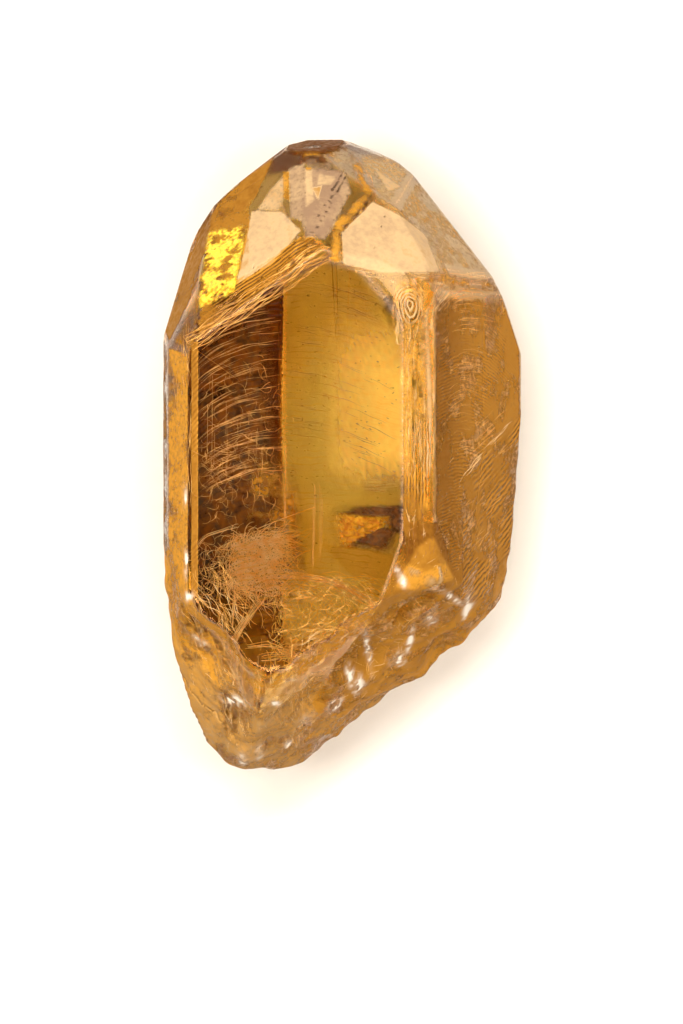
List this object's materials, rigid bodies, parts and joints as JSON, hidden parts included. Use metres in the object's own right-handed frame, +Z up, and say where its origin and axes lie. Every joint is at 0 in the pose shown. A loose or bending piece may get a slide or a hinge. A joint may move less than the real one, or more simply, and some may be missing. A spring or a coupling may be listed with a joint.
{
  "type": "apatite crystal",
  "caption": "Clear golden six-sided apatite crystal with a many-faced point, a stepped growth band and a rough milky broken base, lying on its flat back face.",
  "frame": {"origin": "under the middle of the crystal's box, on the surface it lies on", "axes": "+Y along the crystal's long axis towards its point, +Z up out of its broad front face, +X towards the wide right prism face"},
  "size_m": [0.0286, 0.0506, 0.023],
  "materials": {
    "golden_apatite": "clear golden crystal, glossy on its grown faces and rough and milky on the broken base"
  },
  "bodies": {
    "root": {"apatite_crystal": "golden_apatite"}
  },
  "joints": []
}
